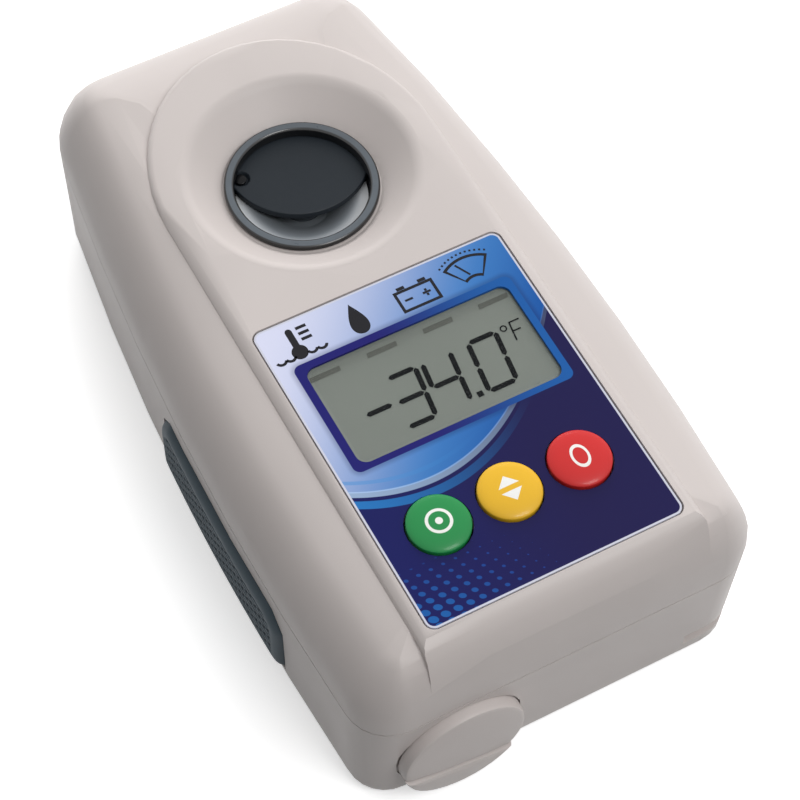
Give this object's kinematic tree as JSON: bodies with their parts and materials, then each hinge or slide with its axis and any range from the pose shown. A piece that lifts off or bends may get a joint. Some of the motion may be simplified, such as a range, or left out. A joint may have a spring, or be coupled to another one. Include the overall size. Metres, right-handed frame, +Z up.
{
  "type": "digital refractometer",
  "caption": "Pocket digital refractometer: grey moulded case with dished sample well under a swing cover, display, domed buttons, side grips and battery cap.",
  "frame": {"origin": "centre of the bounding box in plan, on the surface that the feet stand on", "axes": "+Z up from the feet to the display, +Y along the case from the battery cap and buttons to the sample well, +X to the right of someone reading the display"},
  "size_m": [0.0744, 0.1325, 0.0437],
  "materials": {
    "case": "light grey ABS with a fine satin mould grain",
    "inner_plastic": "dark grey moulded plastic, plain",
    "black_plastic": "black moulded plastic, smooth",
    "rubber": "dark slate soft rubber, matte",
    "label": "printed polyester film in blue and navy, satin gloss",
    "window": "clear acrylic window, polished",
    "lcd": "grey-green reflective liquid-crystal glass",
    "holder": "white moulded frame",
    "strip": "layered conductive rubber strip",
    "board": "green solder-masked circuit board",
    "green_gloss": "glossy green dome",
    "yellow_gloss": "glossy yellow dome",
    "red_gloss": "glossy red dome",
    "nickel": "nickel-plated steel",
    "steel": "stainless steel",
    "bezel": "glossy dark grey ring",
    "cover": "matte dark slate disc",
    "optical_glass": "polished optical glass",
    "lamp": "amber epoxy lamp",
    "cable": "black sheathed round cable",
    "cell": "plain sleeved round cells"
  },
  "bodies": {
    "case": {"top_case": "case", "bottom_case": "case", "case_seal": "rubber", "label_panel": "label", "display_window": "window", "lcd_glass": "lcd", "lcd_holder": "holder", "lcd_strip_near": "strip", "lcd_strip_far": "strip", "main_board": "board", "green_switch": "nickel", "yellow_switch": "nickel", "red_switch": "nickel", "bezel_ring": "bezel", "cover_pin": "black_plastic", "pin_clip": "steel", "well_tray": "inner_plastic", "tray_screw_1": "nickel", "tray_screw_2": "nickel", "tray_screw_3": "nickel", "sample_bowl": "steel", "prism_seal": "rubber", "prism": "optical_glass", "optics_block": "inner_plastic", "temperature_probe": "nickel", "lens": "optical_glass", "lamp": "lamp", "sensor": "black_plastic", "sensor_board": "board", "sensor_cable": "cable", "battery_tube": "inner_plastic", "battery_front": "cell", "battery_rear": "cell", "battery_spring": "nickel", "rear_contact": "nickel", "left_grip": "rubber", "right_grip": "rubber", "foot_front_left": "rubber", "foot_front_right": "rubber", "foot_well_left": "rubber", "foot_well_right": "rubber", "case_screw_front_left": "steel", "case_screw_front_right": "steel", "case_screw_well_left": "steel", "case_screw_well_right": "steel", "board_screw_near_left": "nickel", "board_screw_near_right": "nickel", "board_screw_far_left": "nickel", "board_screw_far_right": "nickel"},
    "cover": {"evaporation_cover": "cover"},
    "cap_slide": {"cap_seal": "rubber"},
    "cap": {"battery_cap": "case", "cap_contact": "nickel"},
    "green_key": {"green_button": "green_gloss", "green_plunger": "black_plastic"},
    "yellow_key": {"yellow_button": "yellow_gloss", "yellow_plunger": "black_plastic"},
    "red_key": {"red_button": "red_gloss", "red_plunger": "black_plastic"}
  },
  "joints": [
    {"name": "cover_swing", "type": "hinge", "parent": "case", "child": "cover", "pos_m": [-0.00792, 0.03279, 0.036], "axis": [0, 0, 1], "range_deg": [-43, 75]},
    {"name": "cap_pull", "type": "slide", "parent": "case", "child": "cap_slide", "axis": [0, -1, 0], "range_m": [0, 0.024]},
    {"name": "cap_turn", "type": "hinge", "parent": "cap_slide", "child": "cap", "pos_m": [-0.0185, -0.0626, 0.0121], "axis": [0, 1, 0], "range_deg": [0, 90]},
    {"name": "green_press", "type": "slide", "parent": "case", "child": "green_key", "axis": [0, 0, -1], "range_m": [0, 0.0005], "stiffness_N_per_m": 1500, "springref_m": -0.0003},
    {"name": "yellow_press", "type": "slide", "parent": "case", "child": "yellow_key", "axis": [0, 0, -1], "range_m": [0, 0.0005], "stiffness_N_per_m": 1500, "springref_m": -0.0003},
    {"name": "red_press", "type": "slide", "parent": "case", "child": "red_key", "axis": [0, 0, -1], "range_m": [0, 0.0005], "stiffness_N_per_m": 1500, "springref_m": -0.0003}
  ]
}
